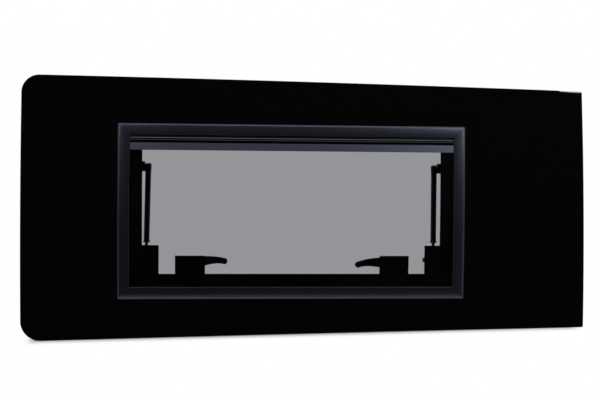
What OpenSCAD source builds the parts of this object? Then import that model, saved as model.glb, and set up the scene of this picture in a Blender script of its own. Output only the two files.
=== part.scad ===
// Side window for a camper van: a dark bonded glass panel with a framed, top-hung sash in it.
// X runs along the vehicle, Y into it and Z up. The panel is bent about a level axis, and bulges outwards.
// Depths are measured inwards from the panel's outer face, and offsets outwards from the frame's inner edge.

/* [Fixed glass] */
// Radius of the bend, to the panel's outer face
bend_r = 5000; // [3000:100:9000]
// Thickness of the fixed glass
glass_t = 5; // [4:0.5:6]
// Distance from the window's centre to the panel's left edge
panel_left = 693; // [640:1:760]
// Distance from the window's centre to the panel's right edge
panel_right = 770; // [700:1:860]
// How far the left edge leans out from its middle to its lower end
left_lean = 1.6; // [0:0.1:6]
// How far the right edge leans out from its middle to its lower end
right_lean = 6.3; // [0:0.1:12]
// Height of the top left corner over the window's centre
left_top = 346.5; // [320:0.5:380]
// Depth of the bottom left corner under the window's centre
left_bottom = 333.8; // [300:0.5:360]
// Height of the top right corner over the window's centre
right_top = 323.3; // [300:0.5:345]
// Depth of the bottom right corner under the window's centre
right_bottom = 303; // [280:0.5:330]
// Rise of the top edge over the line between its corners
top_bow = 2.8; // [0:0.1:8]
// Rise of the bottom edge over the line between its corners
bottom_bow = 1.4; // [0:0.1:6]
// Radius of the top left corner
top_left_r = 45; // [10:1:70]
// Radius of the bottom left corner
bottom_left_r = 50; // [10:1:70]
// Radius of the two right corners
right_r = 4.5; // [2:0.5:20]

/* [Outer frame] */
// Width of the frame over its flanges
frame_w = 900; // [700:5:1000]
// Height of the frame over its flanges
frame_h = 450; // [400:5:500]
// Width of the flange at each side
flange_side = 30; // [24:0.5:36]
// Width of the flange at the top
flange_top = 28.5; // [24:0.5:36]
// Width of the flange at the bottom
flange_bottom = 31; // [24:0.5:36]
// Height of the flange's face over the glass
flange_rise = 6; // [5:0.5:8]
// Thickness of the flange
flange_t = 3.5; // [2.5:0.5:4]
// Width of the bevel along the flange's outer edge
edge_bevel = 4.5; // [2:0.5:6]
// Width of the bevel along the bottom flange's outer edge
sill_bevel = 8.5; // [4:0.5:10]
// Radius of the frame's outer corners
frame_corner_r = 4; // [1:0.5:8]
// Width of the bevel along the flange's inner edge
inner_bevel = 0.4; // [0.4:0.2:2.4]
// How far the flange's face is crowned
flange_crown = 0.5; // [0.2:0.1:1]
// Thickness of the web that runs through the glass
web_t = 3; // [2:0.5:4]
// Distance from the flange's inner edge out to the web
web_inset = 3; // [2:0.5:5]
// Depth of the web's inner end
web_depth = 26; // [22:1:30]
// Depth of the stop's front face, which carries the seal
stop_depth = 16; // [13:0.5:18]
// Thickness of the stop
stop_t = 2.5; // [2:0.5:3]
// Distance from the flange's inner edge in to the stop's edge
stop_reach = 22; // [18:0.5:26]

/* [Clamp frame] */
// Depth of the flat rear face behind the glass's centre
rear_y = 38; // [34:0.5:44]
// Thickness of the clamp frame's walls
clamp_t = 2.5; // [2:0.5:3]
// Gap between the web and the clamp frame's outer wall
clamp_gap = 2; // [1:0.5:3]
// Width of the foot that bears on the glass
foot_w = 24; // [16:1:30]

/* [Sash] */
// Depth of the sash glass's outer face, less than nothing where it stands out
sash_depth = -1; // [-2:0.5:0.5]
// Thickness of the sash glass
sash_t = 4; // [3:0.5:5]
// Gap between the sash glass and the frame's inner edge
sash_gap = 3; // [2:0.5:5]
// Radius of the sash glass's corners
sash_corner_r = 4; // [2:0.5:10]
// Width of the black border at the left, from the frame's inner edge
border_left = 32.6; // [28:0.1:40]
// Width of the black border at the right, from the frame's inner edge
border_right = 34.8; // [28:0.1:40]
// Width of the black border at the bottom, from the frame's inner edge
border_bottom = 34; // [28:0.5:40]
// Thickness of the black border
border_t = 0.3; // [0.3:0.1:0.5]
// Height of the rail's lower edge under the frame's inner edge
rail_low = 38.7; // [34:0.1:42]
// Height of the rail's visible face
rail_h = 18.5; // [17:0.1:21]
// Thickness of the rail's lips
rail_t = 1.8; // [1.5:0.1:2.5]
// Radius of the hinge bar
bar_r = 5.4; // [3.5:0.1:5.5]
// Height of the hinge bar's axis under the frame's inner edge
bar_drop = 9.7; // [8:0.1:11]
// Depth of the hinge bar's axis
bar_depth = 1.5; // [0.5:0.5:3]
// Gap between the hinge bar and its hook
hook_gap = 0.4; // [0.2:0.1:0.8]
// Thickness of the hook
hook_t = 2; // [1.5:0.1:2.5]
// Thickness of the seal's foot
seal_foot_t = 2.6; // [2:0.1:4]

/* [Gas struts] */
// Distance from the frame's inner edge in to the upper ball
ball_top_in = 45.7; // [42:0.1:54]
// Depth of the upper ball
ball_top_y = 34.6; // [30:0.1:40]
// Distance from the frame's inner edge down to the upper ball
ball_top_drop = 81.5; // [72:0.5:104]
// Distance from the frame's inner edge in to the lower ball
ball_low_in = 37.5; // [35:0.1:44]
// Depth of the lower ball
ball_low_y = 70.7; // [60:0.1:76]
// Distance from the frame's inner edge up to the lower ball
ball_low_rise = 64.4; // [58:0.1:74]
// Radius of the strut's tube
tube_r = 7.5; // [6:0.5:8]
// Radius of the strut's rod
rod_r = 4; // [3:0.5:5]
// Length of rod that shows below the tube
rod_out = 36.3; // [30:0.1:60]
// Radius of the ball
ball_r = 5; // [4:0.5:5.5]
// Radius of the sockets
socket_r = 8.2; // [7.5:0.1:9]
// Length of the sockets
socket_l = 21; // [18:0.5:26]
// Height of the upper bracket
bracket_h = 26; // [18:0.5:30]
// Thickness of the brackets' feet and ribs
bracket_t = 3; // [2:0.5:4]
// Thickness of the lower bracket's arm
arm_t = 6; // [4:0.5:8]
// Distance from the lower ball in to the arm that carries it
arm_gap = 22.6; // [20:0.2:26]
// Distance from the frame's inner edge in to the far edge of the printed block behind the lower bracket
step_in = 75; // [70:0.5:80]
// Height of the printed block's top over the border
step_h = 74; // [60:0.5:80]

/* [Handles] */
// Distance from the frame's inner edge in to each lever's pivot
pivot_in = 155; // [130:1:190]
// Distance from the frame's inner edge up to each lever's pivot
pivot_rise = 59.5; // [56:0.5:66]
// Width of the printed block behind each handle
pad_w = 77; // [66:1:86]
// Height of the printed block's top over the border
pad_h = 47; // [44:1:56]
// Distance from the pivot to the middle of the lever's tip
lever_l = 88; // [70:1:100]
// Radius of the lever's tip
tip_r = 8; // [6:0.1:10]
// Radius of the lever's hub
hub_r = 14; // [12:0.5:16]
// Thickness of the lever at its hub
lever_t = 9; // [8:0.5:11]
// Thickness of the lever's grip
grip_t = 6; // [5:0.5:7]
// How far the lever's tip stands off behind its hub
tip_lift = 5; // [0:0.5:8]
// Angle of the left lever above level, at rest
lever_up = 2; // [-4:0.5:8]
// How much lower the right lever rests than the left one
right_droop = 6; // [0:0.5:10]
// Length of the latch tongue below the pivot
tongue_l = 49; // [46:0.5:54]
// Width of the latch tongue
tongue_w = 17; // [12:0.5:20]
// Thickness of the latch tongue
tongue_t = 3.5; // [2.5:0.5:4]
// Gap between the latch tongue and its keeper
tongue_gap = 5.2; // [5:0.1:8]
// Thickness of the keeper
keeper_t = 1.5; // [1:0.5:2]
// Radius of the pivot screw's shank
pin_r = 4; // [3:0.5:5]

/* [Hidden] */
$fn = 96;

black = [0.05, 0.05, 0.06];
charcoal = [0.16, 0.17, 0.19];
grey_rail = [0.26, 0.27, 0.3];
rubber = [0.08, 0.08, 0.08];
steel = [0.7, 0.71, 0.73];

// clearance between pieces that seat on each other
seat_gap = 0.2;
// radial clearance of the pivot in the lever
run_gap = 0.06;

// half width of the frame's inner edge, and its height above and below the centre
in_x = frame_w / 2 - flange_side;
in_top = frame_h / 2 - flange_top;
in_bottom = frame_h / 2 - flange_bottom;
// offsets of the web's outer face and of the glass's cut-out
web_out = web_inset + web_t;
cut_out = web_out + 2;
// offset of the clamp frame's outer wall
wall_in = web_out + clamp_gap;
// middle of the clamp frame's bottom rail, where the part's origin lies
rail_mid_z = -(in_bottom + (wall_in + clamp_t - stop_reach) / 2);
// offsets at which the frame's straight members and the rail touch the bend
touch = 15;
rail_touch = rail_h / 2 - rail_low;
// depths of the sash's inner faces
sash_back = sash_depth + sash_t;
border_front = sash_back + 0.1;
border_back = border_front + border_t;
// depths of the handle's layers, from the keeper inwards
tongue_y = rear_y + tongue_gap;
base_y = tongue_y - 0.3;
pivot_x = in_x - pivot_in;
pivot_z = pivot_rise - in_bottom;
lever_y = tongue_y + tongue_t + 0.1;
screw_head_y = lever_y + lever_t + 0.3;

function bend_angle(height) = asin(height / bend_r);
function sag(height) = bend_r - sqrt(bend_r * bend_r - height * height);
function unit(v) = v / norm(v);

// Places the drawing so that the origin lies on the clamp frame's rear face.
module in_place()
    translate([0, -rear_y, -rail_mid_z]) children();

// Mirrors what is drawn for the right side to the left one.
module on_side(side)
    mirror([side == "left" ? 1 : 0, 0, 0]) children();

// Extrudes an outline drawn in X and Z from one depth to another.
module prism(y0, y1)
    translate([0, y1, 0]) rotate([90, 0, 0]) linear_extrude(y1 - y0) children();

// Turns a profile drawn as radius and X about the bend's axis.
module around_bend(height)
    translate([0, bend_r, 0]) rotate([-90, 0, 0]) rotate([0, 90, 0])
        rotate([0, 0, -bend_angle(height)])
            rotate_extrude(angle = 2 * bend_angle(height), $fn = 256) children();

// A bent sheet between two depths.
module bent_sheet(d0, d1, width, height)
    around_bend(height) translate([bend_r - d1, -width]) square([d1 - d0, 2 * width]);

// Lays a flat drawing against the bend at a height.
module at_height(z)
    translate([0, bend_r, 0]) rotate([-bend_angle(z), 0, 0]) translate([0, -bend_r, 0]) children();

// A rectangle at an offset from the frame's inner edge, and the ring between two of them.
module inner_rect(offset)
    translate([-(in_x + offset), -(in_bottom + offset)])
        square([2 * (in_x + offset), in_top + in_bottom + 2 * offset]);

module ring(offset0, offset1)
    difference() {
        inner_rect(offset1);
        inner_rect(offset0);
    }

// The points of a round corner at p, from the edge towards a to the edge towards b.
function round_corner(p, a, b, r) =
    let (u = unit(a - p), v = unit(b - p), half = acos(u * v) / 2, n = 6 + ceil(r / 3),
        c = p + unit(u + v) * r / sin(half), s = p + u * r / tan(half) - c,
        first = atan2(s[1], s[0]), turn = (cross(u, v) > 0 ? -1 : 1) * (180 - 2 * half))
    [for (i = [0:n]) c + r * [cos(first + turn * i / n), sin(first + turn * i / n)]];

module rounded_rect(x0, z0, x1, z1, r) {
    p = [[x0, z0], [x1, z0], [x1, z1], [x0, z1]];
    polygon([for (i = [0:3]) each round_corner(p[i], p[(i + 3) % 4], p[(i + 1) % 4], r)]);
}

// The part of the frame that belongs to one side, cut at 45 degrees at its corners.
module mitre(side, gap = 0) {
    m = 45;
    x = in_x - gap;
    if (side == "top")
        polygon([[m - x, in_top - m], [x - m, in_top - m], [x + m, in_top + m], [-x - m, in_top + m]]);
    if (side == "bottom")
        mirror([0, 1])
            polygon([[m - x, in_bottom - m], [x - m, in_bottom - m], [x + m, in_bottom + m],
                [-x - m, in_bottom + m]]);
    if (side == "right")
        polygon([[x - m + gap, in_top - m], [x + m + gap, in_top + m],
            [x + m + gap, -in_bottom - m], [x - m + gap, m - in_bottom]]);
    if (side == "left")
        mirror([1, 0]) mitre("right", gap);
}

// Runs a profile, drawn as offset and depth, along one side of the frame. A level one is straight, and touches
// the bend at an offset.
module run(side, length, touch = touch) {
    if (side == "top")
        at_height(in_top + touch) rotate([0, -90, 0])
            linear_extrude(2 * length, center = true) translate([-touch, 0]) children();
    if (side == "bottom")
        at_height(-(in_bottom + touch)) mirror([0, 0, 1]) rotate([0, -90, 0])
            linear_extrude(2 * length, center = true) translate([-touch, 0]) children();
    if (side == "right" || side == "left")
        on_side(side) around_bend(length) translate([bend_r, in_x]) rotate(90) children();
}

// Half the length of the members along each side, with their mitres.
function run_length(side) = (side == "top" || side == "bottom") ? in_x + 45 : frame_h / 2 + 5;

function bowed(a, b, bow, n = 8) =
    [for (i = [1:n - 1]) let (t = i / n) a + t * (b - a) + [0, 4 * bow * t * (1 - t)]];

// The panel's outline: four corners joined by two straight and two bowed edges.
module panel_outline() {
    tl = [-panel_left + left_lean, left_top];
    tr = [panel_right - right_lean, right_top];
    br = [panel_right + right_lean, -right_bottom];
    bl = [-panel_left - left_lean, -left_bottom];
    top = bowed(tl, tr, top_bow);
    low = bowed(br, bl, bottom_bow);
    last = len(top) - 1;
    polygon(concat(
        round_corner(tl, bl, top[0], top_left_r), top,
        round_corner(tr, top[last], br, right_r),
        round_corner(br, tr, low[0], right_r), low,
        round_corner(bl, low[last], tl, bottom_left_r)));
}

module fixed_glass() color(black) in_place()
    intersection() {
        bent_sheet(0, glass_t, panel_right + 60, left_top + 25);
        prism(-5, 60) difference() {
            panel_outline();
            rounded_rect(-(in_x + cut_out), -(in_bottom + cut_out), in_x + cut_out, in_top + cut_out, 4);
        }
    }

// Section of the outer frame: flange, web through the glass, and the stop that carries the seal.
module frame_section(width, bevel) {
    under = flange_t - flange_rise;
    face0 = inner_bevel;
    face1 = width - bevel;
    function crowned(t) = [face0 + t * (face1 - face0), flange_crown * pow(2 * t - 1, 2) - flange_rise];
    polygon(concat(
        [[0, inner_bevel + flange_crown - flange_rise]],
        [for (i = [0:8]) crowned(i / 8)],
        [[width - bevel / 2, 0.36 * edge_drop - flange_rise], [width - 1, edge_drop - 0.5 - flange_rise],
            [width - 0.3, edge_drop - flange_rise], [width, edge_drop + 0.7 - flange_rise],
            [width, -seat_gap], [width - 2, -seat_gap],
            [width - 2, under], [web_out, under], [web_out, web_depth], [web_inset, web_depth],
            [web_inset, stop_depth + stop_t], [-stop_reach, stop_depth + stop_t],
            [-stop_reach, stop_depth], [web_inset, stop_depth], [web_inset, under], [0, under]]));
}

module frame_member(side, width, bevel)
    intersection() {
        run(side, run_length(side)) frame_section(width, bevel);
        prism(-20, 60) intersection() {
            mitre(side);
            rounded_rect(-frame_w / 2, -frame_h / 2, frame_w / 2, frame_h / 2, frame_corner_r);
        }
    }

module frame_top() color(charcoal) in_place() frame_member("top", flange_top, edge_bevel);
module frame_bottom() color(charcoal) in_place() frame_member("bottom", flange_bottom, sill_bevel);
module frame_left() color(charcoal) in_place() frame_member("left", flange_side, edge_bevel);
module frame_right() color(charcoal) in_place() frame_member("right", flange_side, edge_bevel);

// Flat gasket between the flange and the glass.
module glazing_gasket() color(rubber) in_place()
    for (side = ["top", "right", "bottom", "left"])
        intersection() {
            run(side, run_length(side))
                translate([cut_out + 1, flange_t - flange_rise + seat_gap / 2])
                    square([flange_side - cut_out - 5, flange_rise - flange_t - seat_gap]);
            prism(-20, 60) mitre(side);
        }

// Inner frame: a channel that closes over the web, with a foot against the glass and a flat rear face.
module clamp_ring() {
    inner_y = stop_depth + stop_t + sag(in_top + web_out) + 0.6;
    intersection() {
        bent_sheet(glass_t + seat_gap / 2, 80, in_x + 45, frame_h / 2 + 25);
        union() {
            prism(inner_y, rear_y) ring(-stop_reach, clamp_t - stop_reach);
            prism(rear_y - clamp_t, rear_y) ring(-stop_reach, wall_in + clamp_t);
            prism(0, rear_y) ring(wall_in, wall_in + clamp_t);
            intersection() {
                bent_sheet(glass_t + seat_gap / 2, glass_t + clamp_t, in_x + 45, frame_h / 2 + 25);
                prism(0, 60) ring(wall_in, wall_in + foot_w);
            }
        }
    }
}

module clamp_member(side)
    intersection() {
        clamp_ring();
        prism(-5, 60) mitre(side);
    }

module clamp_top() color(black) in_place() clamp_member("top");
module clamp_bottom() color(black) in_place()
    difference() {
        clamp_member("bottom");
        for (side = ["left", "right"])
            on_side(side) prism(rear_y - keeper_t - seat_gap / 2, rear_y + 1) keeper_outline(seat_gap);
    }
module clamp_left() color(black) in_place() clamp_member("left");
module clamp_right() color(black) in_place() clamp_member("right");

// Bulb seal on the stop, which the sash closes against.
module seal_section(back) {
    foot_d = stop_depth - seal_foot_t;
    r = (foot_d + 0.6 - back) / 2;
    mid = -stop_reach + 8;
    translate([mid - 6, foot_d]) square([12, stop_depth - seat_gap / 2 - foot_d]);
    translate([mid, back + r]) circle(r);
}

// One length of the seal, lower where it runs behind the rail.
module seal_length(side, behind_rail) {
    seal_top = in_top - rail_low - 1;
    intersection() {
        run(side, run_length(side)) seal_section((behind_rail ? hook_back : border_back) + seat_gap);
        prism(-20, 60) mitre(side, side == "top" || side == "bottom" ? 0.1 : 0);
        if (side == "left" || side == "right")
            translate([-frame_w, -20, behind_rail ? seal_top : -frame_h]) cube([2 * frame_w, 80,
                behind_rail ? frame_h : frame_h + seal_top]);
    }
}

module sash_seal() color(rubber) in_place() {
    seal_length("top", true);
    seal_length("bottom", false);
    for (side = ["left", "right"]) {
        seal_length(side, false);
        seal_length(side, true);
    }
}

// Round bar under the top flange, on which the sash hangs.
module hinge_bar() color(steel) in_place()
    run("top", in_x - 2) {
        translate([-bar_drop, bar_depth]) circle(bar_r);
        translate([-bar_drop, bar_depth - 0.9]) square([bar_drop + web_inset - 1, 1.8]);
        translate([web_inset - 1.8, bar_depth - 3]) square([1.8 - seat_gap / 2, 11]);
    }

// The sash's top rail: a channel over the glass's edge, and a hook behind and over the bar.
module rail_section() {
    front = sash_depth - seat_gap - rail_t;
    low = -rail_low;
    top = rail_h - rail_low;
    translate([low, front]) square([rail_h, rail_t]);
    translate([low, border_back + seat_gap]) square([rail_h, rail_t]);
    translate([top - rail_t, front]) square([rail_t, hook_back - front]);
    translate([top - rail_t, hook_back - hook_t]) square([rail_t - top - bar_drop, hook_t]);
    translate([-bar_drop, bar_depth]) intersection() {
        difference() {
            circle(bar_r + hook_gap + hook_t);
            circle(bar_r + hook_gap);
        }
        polygon([[0, 0], [20 * cos(hook_end), 20 * sin(hook_end)], [16, 20], [0, 20]]);
    }
}

module sash_rail() color(grey_rail) in_place()
    run("top", in_x - 1.5, rail_touch) rail_section();

module sash_outline()
    rounded_rect(sash_gap - in_x, sash_gap - in_bottom, in_x - sash_gap, glass_top, sash_corner_r);

module sash_glass() color([0.6, 0.6, 0.62, 0.35]) in_place()
    intersection() {
        bent_sheet(sash_depth, sash_back, in_x + 20, frame_h / 2 + 10);
        prism(-20, 60) sash_outline();
    }

// Printed border on the glass's inner face, with blocks that hide the struts' feet and the handles.
module sash_border() color(black) in_place()
    intersection() {
        bent_sheet(border_front, border_back, in_x + 20, frame_h / 2 + 10);
        prism(-20, 60) difference() {
            sash_outline();
            difference() {
                translate([border_left - in_x, clear_low])
                    square([2 * in_x - border_left - border_right, in_top - rail_low + 2 - clear_low]);
                for (side = ["left", "right"])
                    mirror([side == "left" ? 1 : 0, 0]) {
                        translate([in_x - step_in, clear_low]) square([step_in, step_h]);
                        translate([pivot_x - pad_w / 2, clear_low]) square([pad_w, pad_h]);
                    }
            }
        }
    }

// Places a drawing on the line between a strut's balls, with the upper ball at the origin.
module along_strut() {
    v = ball_low - ball_top;
    translate(ball_top) rotate([0, acos(v[2] / norm(v)), atan2(v[1], v[0])]) children();
}

module tube_round(r, from, to)
    translate([0, 0, from]) cylinder(h = to - from, r = r);

module strut_tube(side) color(black) in_place() on_side(side)
    along_strut() difference() {
        union() {
            tube_round(tube_r, socket_in, tube_end - gland_l);
            translate([0, 0, tube_end - gland_l]) cylinder(h = 2, r1 = tube_r, r2 = gland_r);
            tube_round(gland_r, tube_end - gland_l + 2, tube_end - 1.5);
            translate([0, 0, tube_end - 1.5]) cylinder(h = 1.5, r1 = gland_r, r2 = tube_r - 1.5);
        }
        tube_round(rod_r + 0.1, tube_end - rod_inside - 5, tube_end + 1);
    }

module strut_rod(side) color(black) in_place() on_side(side)
    along_strut() tube_round(rod_r, tube_end - rod_inside, strut_l - socket_in + 5);

// A ball about a point, with its seam turned away from its stud.
module ball(centre, r)
    translate(centre) rotate([0, 0, 90]) sphere(r);

// A ball socket, with a hole at one side for the ball's stud.
module socket(centre, bore) {
    difference() {
        children();
        ball(centre, ball_r + 0.15);
        translate(centre) rotate([0, bore, 0]) cylinder(h = 20, r = stud_r + 0.8);
    }
}

module upper_socket(side) color(black) in_place() on_side(side)
    socket(ball_top, 90) along_strut() {
        translate([0, 0, socket_in - socket_l]) cylinder(h = 1, r1 = socket_r - 3, r2 = socket_r - 1.2);
        translate([0, 0, socket_in - socket_l + 1]) cylinder(h = 2, r1 = socket_r - 1.2, r2 = socket_r);
        tube_round(socket_r, socket_in - socket_l + 3, socket_in - 2);
        translate([0, 0, socket_in - 2]) cylinder(h = 1.9, r1 = socket_r, r2 = tube_r);
    }

module lower_socket(side) color(black) in_place() on_side(side)
    socket(ball_low, -90) along_strut() difference() {
        union() {
            tube_round(socket_r, strut_l - socket_in, strut_l - socket_in + socket_l - 3);
            translate([0, 0, strut_l - socket_in + socket_l - 3])
                cylinder(h = 3, r1 = socket_r, r2 = socket_r - 3);
        }
        tube_round(rod_r + 0.1, strut_l - socket_in - 1, strut_l - socket_in + 5.2);
    }

// Extrudes an outline drawn in Y and Z along X.
module across(x0, x1)
    translate([x0, 0, 0]) rotate([90, 0, 90]) linear_extrude(x1 - x0) children();

// Bracket on the frame's inner wall: a foot, a rounded block, and the upper ball on its stud.
module frame_bracket(side) color(black) in_place() on_side(side) {
    x0 = ball_top_x + socket_r + 0.3;
    x1 = in_x - stop_reach - seat_gap;
    z0 = ball_top_z - bracket_h / 2 + 1;
    z1 = z0 + bracket_h;
    across(x0, x1) rounded_rect(ball_top_y - 8, z0, ball_top_y + 8, z1, 4);
    across(x1 - bracket_t, x1)
        rounded_rect(ball_top_y - 9, z0 - foot_reach, rear_y - 1, z1 + foot_reach, 4);
    ball(ball_top, ball_r);
    translate(ball_top) rotate([0, 90, 0]) cylinder(h = x0 - ball_top_x + 1, r = stud_r);
}

// A flat foot bonded to the border's inner face, drawn about its middle.
module foot_plate(z, thickness)
    at_height(z) prism(border_back + seat_gap, border_back + seat_gap + thickness) children();

// A thin triangular rib in X and Y, from a foot up to an arm or a pedestal.
module rib(foot_x, arm_x, z, height) {
    root = border_back + 1.7 + sag(z);
    translate([0, 0, z - bracket_t / 2]) linear_extrude(bracket_t)
        polygon([[foot_x, root], [arm_x, root], [arm_x, root + height]]);
}

// Bracket on the sash glass, with the lower ball on a bolt through its arm.
module sash_bracket(side) color(black) in_place() on_side(side) {
    x0 = in_x - step_in + 2;
    x1 = in_x - border_side(side) - 2;
    arm_x = ball_low_x - arm_gap;
    foot_half = step_h / 2 - 4;
    foot_z = clear_low + step_h / 2 - 1;
    arm_root = [for (z = [foot_z - foot_half + 3, foot_z + foot_half - 5]) [border_back + 2 + sag(z), z]];
    foot_plate(foot_z, bracket_t)
        rounded_rect(x0, -foot_half, x1, foot_half, 4);
    across(arm_x, arm_x + arm_t) {
        polygon([arm_root[0], arm_root[1], [ball_low_y + 2, ball_low_z + 10.8],
            [ball_low_y + 2, ball_low_z - 10.8]]);
        translate([ball_low_y, ball_low_z]) circle(11);
    }
    for (z = [foot_z - foot_half / 2, foot_z + foot_half / 2]) {
        rib(x0 + 2, arm_x + 1, z, 22);
        rib(x1 - 2, arm_x + arm_t - 1, z, 22);
    }
    translate([arm_x, ball_low_y, ball_low_z]) rotate([0, 90, 0]) {
        translate([0, 0, -5.5]) cylinder(h = 5.6, r = 5.8, $fn = 6);
        translate([0, 0, arm_t - 0.1]) cylinder(h = 3.6, r = 6, $fn = 6);
        translate([0, 0, arm_t - 1]) cylinder(h = arm_gap - arm_t + 1, r = stud_r);
    }
    ball(ball_low, ball_r);
}

// Places a drawing, made in X and Z about a handle's pivot, at a depth.
module at_pivot(side, y) on_side(side)
    translate([pivot_x, y, pivot_z]) children();

module round_at(r, length)
    rotate([-90, 0, 0]) cylinder(h = length, r = r);

// Turns the right side's drawing to where that side's lever rests.
module lever_turn(side)
    rotate([0, side == "left" ? lever_up : lever_up - right_droop, 0]) children();

module handle_base(side) color(black) in_place() on_side(side)
    difference() {
        union() {
            foot_plate(clear_low + pad_h / 2, foot_t)
                rounded_rect(pivot_x - pad_w / 2 + 5, 4 - pad_h / 2,
                    pivot_x + pad_w / 2 - 5, pad_h / 2 - 4, 6);
            translate([pivot_x, foot_y, pivot_z]) rotate([-90, 0, 0])
                cylinder(h = base_y - foot_y, r1 = hub_r + 3, r2 = hub_r - 0.5);
            for (x = [-1, 1])
                rib(pivot_x + x * (pad_w / 2 - 9), pivot_x + x * 8, pivot_z, 24);
        }
        translate([pivot_x, base_y - 12, pivot_z]) round_at(pin_r + 0.1, 13);
    }

// Outline of the lever, drawn along -X from its pivot, thinner towards the tip and bent upwards.
module lever_outline() {
    n = 18;
    function mid(t) = [-lever_l * t, 6.75 * lever_arch * t * t * (1 - t)];
    function half(t) = tip_r + (hub_r - tip_r) * (cos(180 * pow(t, 1.1)) + 1) / 2;
    upper = [for (i = [0:n]) mid(i / n) + [0, half(i / n)]];
    lower = [for (i = [n:-1:0]) mid(i / n) - [0, half(i / n)]];
    polygon(concat(upper, lower));
    circle(hub_r);
    translate([-lever_l, 0]) circle(tip_r);
}

// Outline of the lever from above: thick at its hub, with a thinner grip that leans away from the glass.
module lever_profile() {
    n = 12;
    function lift(t) = tip_lift * (1 - cos(180 * t)) / 2;
    function thick(t) = grip_t + (lever_t - grip_t) * (1 + cos(180 * min(1, 1.6 * t))) / 2;
    root = hub_r - 2;
    run_x = lever_l + tip_r - root;
    front = [for (i = [0:n]) [-root - run_x * i / n, lever_y + lift(i / n)]];
    back = [for (i = [n:-1:0]) [-root - run_x * i / n, lever_y + lift(i / n) + thick(i / n)]];
    polygon(concat([[hub_r + 1, lever_y]], front, back, [[hub_r - 1, lever_y + lever_t],
        [hub_r + 1, lever_y + lever_t - 1.5]]));
}

module handle_lever(side) color(black) in_place() at_pivot(side, 0)
    lever_turn(side) difference() {
        intersection() {
            prism(lever_y, lever_y + lever_t + tip_lift) lever_outline();
            translate([0, 0, -3 * hub_r]) linear_extrude(6 * hub_r) lever_profile();
        }
        translate([0, lever_y - 1, 0]) round_at(pin_r + run_gap, lever_t + 2);
    }

// Tongue under the lever's hub, which closes behind the keeper.
module latch_tongue(side) color(steel) in_place() at_pivot(side, 0)
    lever_turn(side) difference() {
        prism(tongue_y, tongue_y + tongue_t) {
            circle(hub_r - 2);
            translate([-tongue_w / 2, tongue_w / 2 - tongue_l]) square([tongue_w, tongue_l - tongue_w / 2]);
            translate([0, tongue_w / 2 - tongue_l]) circle(tongue_w / 2);
        }
        translate([0, tongue_y - 1, 0]) round_at(pin_r + run_gap, tongue_t + 2);
    }

module pivot_screw(side) color(steel) in_place() at_pivot(side, 0) {
    translate([0, base_y - 11.8, 0]) round_at(pin_r, screw_head_y - base_y + 12);
    translate([0, screw_head_y, 0]) round_at(pin_r + 3, 2.2);
}

// Wear plate in the clamp frame's rear face, flush with it, that the tongue closes behind.
module keeper_outline(gap = 0)
    rounded_rect(pivot_x - 24 - gap, -(in_bottom + 0.5 + gap), pivot_x + 18 + gap,
        stop_reach - in_bottom - 2 + gap, 3 + gap);

module keeper(side) color(steel) in_place() on_side(side)
    prism(rear_y - keeper_t, rear_y) keeper_outline();

// width of the black border at one side
function border_side(side) = side == "left" ? border_left : border_right;
// depth of the hook's rear face, and the angle at which the hook ends over the bar
hook_back = bar_depth + bar_r + hook_gap + hook_t;
hook_end = 25;
// top edge of the sash glass, and lower edge of its clear part
glass_top = in_top - rail_low + rail_h - rail_t - seat_gap;
clear_low = border_bottom - in_bottom;
// centres of the strut's balls at the right side, and the lengths along the strut
ball_top_x = in_x - ball_top_in;
ball_top_z = in_top - ball_top_drop;
ball_low_x = in_x - ball_low_in;
ball_low_z = ball_low_rise - in_bottom;
ball_top = [ball_top_x, ball_top_y, ball_top_z];
ball_low = [ball_low_x, ball_low_y, ball_low_z];
strut_l = norm(ball_low - ball_top);
socket_in = socket_l - socket_r - 1;
tube_end = strut_l - socket_in - rod_out;
rod_inside = 60;
gland_l = 5;
gland_r = tube_r + 0.7;
stud_r = 3;
// how far the upper bracket's foot runs past its block
foot_reach = 9;
// thickness of the handle's foot, the depth at which its pedestal starts, and the rise of the lever's bend
foot_t = 4.5;
foot_y = border_back + seat_gap + foot_t - 1.5 + sag(pivot_z);
lever_arch = 4;
// depth of the flange's outer edge under its face
edge_drop = 4.2;

fixed_glass();
frame_top();
frame_bottom();
frame_left();
frame_right();
glazing_gasket();
clamp_top();
clamp_bottom();
clamp_left();
clamp_right();
sash_seal();
hinge_bar();
sash_rail();
sash_glass();
sash_border();
strut_tube("left");  // strut_tube_left
strut_tube("right");  // strut_tube_right
strut_rod("left");  // strut_rod_left
strut_rod("right");  // strut_rod_right
upper_socket("left");  // upper_socket_left
upper_socket("right");  // upper_socket_right
lower_socket("left");  // lower_socket_left
lower_socket("right");  // lower_socket_right
frame_bracket("left");  // frame_bracket_left
frame_bracket("right");  // frame_bracket_right
sash_bracket("left");  // sash_bracket_left
sash_bracket("right");  // sash_bracket_right
handle_base("left");  // handle_base_left
handle_base("right");  // handle_base_right
handle_lever("left");  // handle_lever_left
handle_lever("right");  // handle_lever_right
latch_tongue("left");  // latch_tongue_left
latch_tongue("right");  // latch_tongue_right
pivot_screw("left");  // pivot_screw_left
pivot_screw("right");  // pivot_screw_right
keeper("left");  // keeper_left
keeper("right");  // keeper_right
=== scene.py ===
import math

import bmesh
import bpy
from bpy.props import FloatProperty, FloatVectorProperty, PointerProperty
from mathutils import Matrix, Vector


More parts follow.
